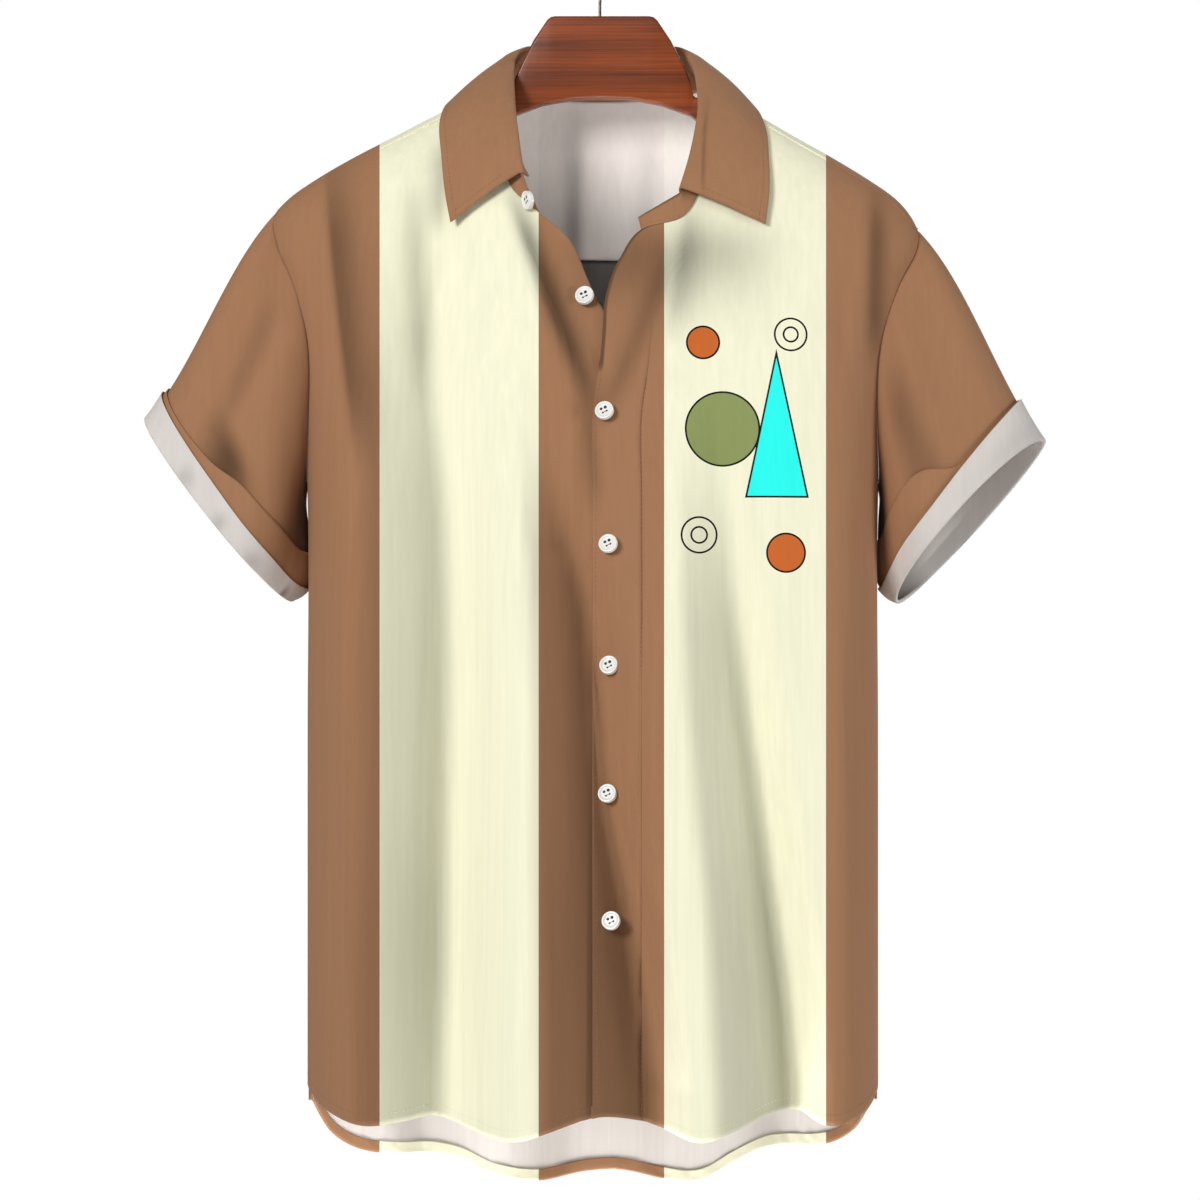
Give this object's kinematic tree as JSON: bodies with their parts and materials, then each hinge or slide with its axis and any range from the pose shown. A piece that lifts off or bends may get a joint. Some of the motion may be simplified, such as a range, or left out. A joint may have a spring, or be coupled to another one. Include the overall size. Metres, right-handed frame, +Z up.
{
  "type": "short-sleeved shirt on a wooden hanger",
  "caption": "Short-sleeved striped shirt with an open collar, front buttons and turned-up cuffs, hanging on a wooden hanger with a wire hook",
  "frame": {"origin": "inside of the hook's crown, where a rail carries the hanger", "axes": "+Z up, +X to the right as seen from the front, the front faces -Y"},
  "size_m": [0.6315, 0.2146, 0.8927],
  "materials": {
    "front_right": "matte",
    "front_left": "matte",
    "placket": "matte",
    "back": "matte",
    "yoke": "matte",
    "collar_stand": "matte",
    "collar_fall": "matte",
    "sleeve_right": "matte",
    "sleeve_left": "matte",
    "cuff_right": "matte",
    "cuff_left": "matte",
    "button_stand": "polished",
    "button_open": "polished",
    "button_1": "polished",
    "button_2": "polished",
    "button_3": "polished",
    "button_4": "polished",
    "button_5": "polished",
    "hanger": "varnished",
    "hook": "dark plated"
  },
  "bodies": {
    "root": {"front_right": "front_right", "front_left": "front_left", "placket": "placket", "back": "back", "yoke": "yoke", "collar_stand": "collar_stand", "collar_fall": "collar_fall", "sleeve_right": "sleeve_right", "sleeve_left": "sleeve_left", "cuff_right": "cuff_right", "cuff_left": "cuff_left", "button_stand": "button_stand", "button_open": "button_open", "button_1": "button_1", "button_2": "button_2", "button_3": "button_3", "button_4": "button_4", "button_5": "button_5", "hanger": "hanger", "hook": "hook"}
  },
  "joints": []
}
